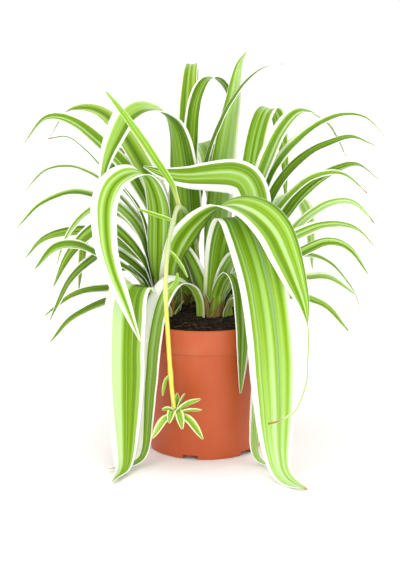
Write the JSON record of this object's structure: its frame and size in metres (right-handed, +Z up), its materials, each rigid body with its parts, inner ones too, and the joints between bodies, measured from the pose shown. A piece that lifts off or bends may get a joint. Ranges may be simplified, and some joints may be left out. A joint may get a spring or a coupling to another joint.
{
  "type": "potted spider plant",
  "caption": "Spider plant with long arching variegated leaves in a tapered round nursery pot, and a runner that hangs over the rim with a young plantlet on its end.",
  "frame": {"origin": "centre of the pot's flat underside, on the surface it stands on", "axes": "+Z up along the pot's axis, -Y towards the front, where the runner and the broad hanging leaves are"},
  "size_m": [0.2961, 0.2739, 0.3126],
  "materials": {
    "pot": "satin",
    "compost": "matte",
    "crown": "satin",
    "leaf": "satin",
    "runner": "satin",
    "bract": "satin",
    "plantlet": "satin"
  },
  "bodies": {
    "root": {"pot": "pot", "main_crown": "crown", "left_crown": "crown", "right_crown": "crown", "rear_crown": "crown", "compost": "compost", "left_leaf_01": "leaf", "left_leaf_02": "leaf", "left_leaf_03": "leaf", "left_leaf_04": "leaf", "left_leaf_05": "leaf", "left_leaf_06": "leaf", "left_leaf_07": "leaf", "left_leaf_08": "leaf", "left_leaf_09": "leaf", "left_leaf_10": "leaf", "main_leaf_01": "leaf", "main_leaf_02": "leaf", "main_leaf_03": "leaf", "main_leaf_04": "leaf", "main_leaf_05": "leaf", "main_leaf_06": "leaf", "main_leaf_07": "leaf", "main_leaf_08": "leaf", "main_leaf_09": "leaf", "right_leaf_01": "leaf", "right_leaf_02": "leaf", "right_leaf_03": "leaf", "right_leaf_04": "leaf", "right_leaf_05": "leaf", "right_leaf_06": "leaf", "right_leaf_07": "leaf", "right_leaf_08": "leaf", "right_leaf_09": "leaf", "right_leaf_10": "leaf", "right_leaf_11": "leaf", "right_leaf_12": "leaf", "rear_leaf_01": "leaf", "rear_leaf_02": "leaf", "rear_leaf_03": "leaf", "rear_leaf_04": "leaf", "rear_leaf_05": "leaf", "rear_leaf_06": "leaf", "rear_leaf_07": "leaf", "rear_leaf_08": "leaf", "rear_leaf_09": "leaf", "rear_leaf_10": "leaf", "rear_leaf_11": "leaf", "rear_leaf_12": "leaf", "rear_leaf_13": "leaf", "runner": "runner", "bract_1": "bract", "bract_2": "bract", "bract_3": "bract", "bract_4": "bract", "bract_5": "bract", "plantlet": "plantlet"}
  },
  "joints": []
}
